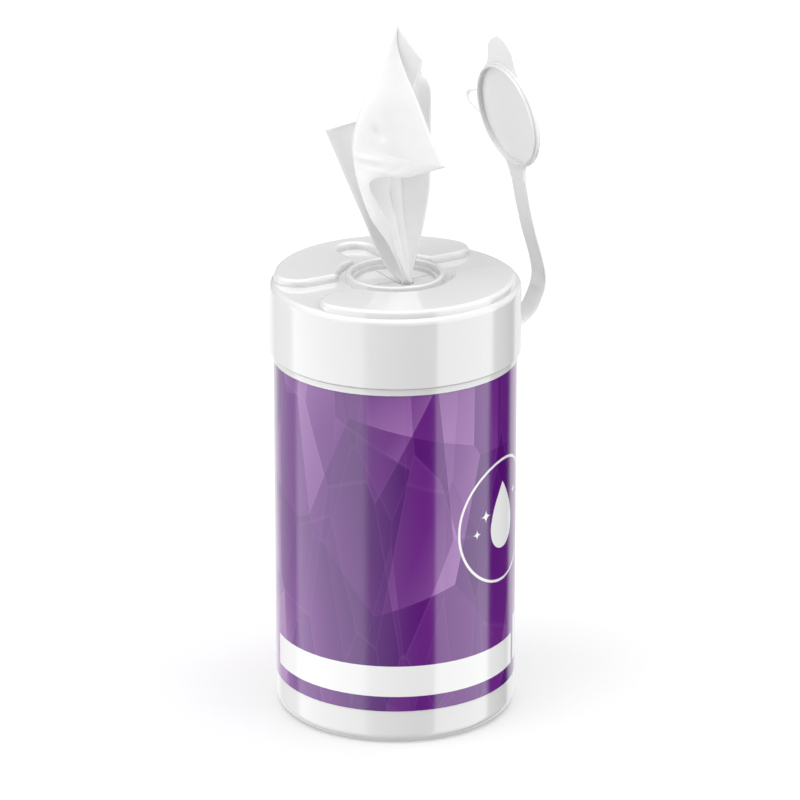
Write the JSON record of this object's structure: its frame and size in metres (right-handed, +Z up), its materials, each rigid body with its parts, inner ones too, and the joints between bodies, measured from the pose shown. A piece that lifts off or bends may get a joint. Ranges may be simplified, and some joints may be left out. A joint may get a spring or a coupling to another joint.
{
  "type": "pack of alcohol wipes",
  "caption": "Round plastic tub of alcohol wipes with a purple wrap label, a white cap, its tethered lid open and a wipe pulled up through the slit.",
  "frame": {"origin": "in the plane that the tub stands on, under the middle of the whole pack's box; the tub's axis is 8 mm from it towards -X", "axes": "+Z up along the tub's axis, +X from the tub's axis towards the strap, +Y towards the finger pocket in the cap"},
  "size_m": [0.1077, 0.0918, 0.2616],
  "materials": {
    "tub": "smooth white polyethylene",
    "label": "printed glossy film, purple with angular facets",
    "cap": "glossy white polypropylene",
    "wipe": "thin white nonwoven cloth"
  },
  "bodies": {
    "tub": {"tub": "tub", "wrap_label": "label", "wipe_roll": "wipe"},
    "cap": {"dispensing_cap": "cap", "lid_strap": "cap", "pulled_wipe": "wipe"},
    "lid": {"flip_lid": "cap"}
  },
  "joints": [
    {"name": "cap_lift", "type": "slide", "parent": "tub", "child": "cap", "axis": [0, 0, 1], "range_m": [0, 0.03]},
    {"name": "lid_hinge", "type": "hinge", "parent": "cap", "child": "lid", "pos_m": [0.0472, 0, 0.16525], "axis": [0, -1, 0], "range_deg": [0, 79.6], "stiffness_Nm_per_rad": 0.02, "deforming": ["lid_strap", "pulled_wipe"]}
  ]
}
